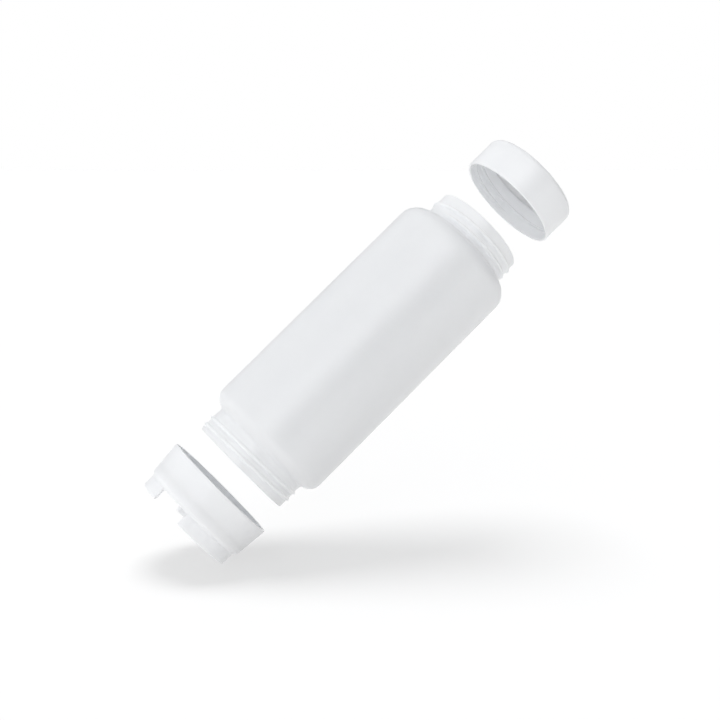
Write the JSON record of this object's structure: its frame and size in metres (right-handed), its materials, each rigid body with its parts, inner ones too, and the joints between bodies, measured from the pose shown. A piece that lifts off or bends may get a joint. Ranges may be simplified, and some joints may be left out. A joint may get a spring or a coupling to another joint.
{
  "type": "condiment squeeze dispenser bottle",
  "caption": "Squeeze bottle for sauces with a threaded neck at each end: a wide refill cap on top and a dispensing cap with a slit valve and a notched foot ring below, shown unscrewed.",
  "frame": {"origin": "centre of the plane that the dispensing cap's foot ring stands on", "axes": "+Z along the bottle's axis from the dispensing cap to the refill cap; -Y faces the viewer in the rest pose"},
  "size_m": [0.075, 0.075, 0.2752],
  "materials": {
    "bottle_plastic": "milky translucent blow-moulded low-density polyethylene, satin",
    "cap_plastic": "natural white injection-moulded polypropylene, satin",
    "liner_foam": "white closed-cell foam sheet",
    "valve_silicone": "frosted translucent silicone"
  },
  "bodies": {
    "dispensing_cap": {"dispensing_cap": "cap_plastic", "valve_body": "valve_silicone", "valve_retainer": "cap_plastic"},
    "neck_gasket": {"neck_gasket": "valve_silicone"},
    "bottle": {"bottle_body": "bottle_plastic"},
    "refill_cap_liner": {"refill_cap_liner": "liner_foam"},
    "refill_cap": {"refill_cap": "cap_plastic"},
    "valve_petal_1": {"valve_petal_1": "valve_silicone"},
    "valve_petal_2": {"valve_petal_2": "valve_silicone"},
    "valve_petal_3": {"valve_petal_3": "valve_silicone"},
    "valve_petal_4": {"valve_petal_4": "valve_silicone"}
  },
  "joints": [
    {"name": "bottle_turn", "type": "hinge", "parent": "dispensing_cap", "child": "neck_gasket", "pos_m": [0, 0, 0.0144], "axis": [0, 0, 1], "range_deg": [-2144, 0]},
    {"name": "bottle_lift", "type": "slide", "parent": "neck_gasket", "child": "bottle", "axis": [0, 0, 1], "range_m": [-0.028, 0]},
    {"name": "refill_lift", "type": "slide", "parent": "bottle", "child": "refill_cap_liner", "axis": [0, 0, 1], "range_m": [-0.0375, 0]},
    {"name": "refill_turn", "type": "hinge", "parent": "refill_cap_liner", "child": "refill_cap", "pos_m": [0, 0, 0.262], "axis": [0, 0, 1], "range_deg": [-2872, 0]},
    {"name": "valve_petal_1_bend", "type": "hinge", "parent": "dispensing_cap", "child": "valve_petal_1", "pos_m": [0.00442, 0, 0.0105], "axis": [0, -1, 0], "range_deg": [0, 50], "stiffness_Nm_per_rad": 0.0003},
    {"name": "valve_petal_2_bend", "type": "hinge", "parent": "dispensing_cap", "child": "valve_petal_2", "pos_m": [0, 0.00442, 0.0105], "axis": [1, 0, 0], "range_deg": [0, 50], "stiffness_Nm_per_rad": 0.0003},
    {"name": "valve_petal_3_bend", "type": "hinge", "parent": "dispensing_cap", "child": "valve_petal_3", "pos_m": [-0.00442, 0, 0.0105], "axis": [0, 1, 0], "range_deg": [0, 50], "stiffness_Nm_per_rad": 0.0003},
    {"name": "valve_petal_4_bend", "type": "hinge", "parent": "dispensing_cap", "child": "valve_petal_4", "pos_m": [0, -0.00442, 0.0105], "axis": [-1, 0, 0], "range_deg": [0, 50], "stiffness_Nm_per_rad": 0.0003}
  ],
  "couplings": [
    {"joint": "bottle_lift", "follows": "bottle_turn", "m_per_rad": 0.00074803},
    {"joint": "refill_lift", "follows": "refill_turn", "m_per_rad": 0.00074803},
    {"joint": "valve_petal_2_bend", "follows": "valve_petal_1_bend", "ratio": 1},
    {"joint": "valve_petal_3_bend", "follows": "valve_petal_1_bend", "ratio": 1},
    {"joint": "valve_petal_4_bend", "follows": "valve_petal_1_bend", "ratio": 1}
  ]
}
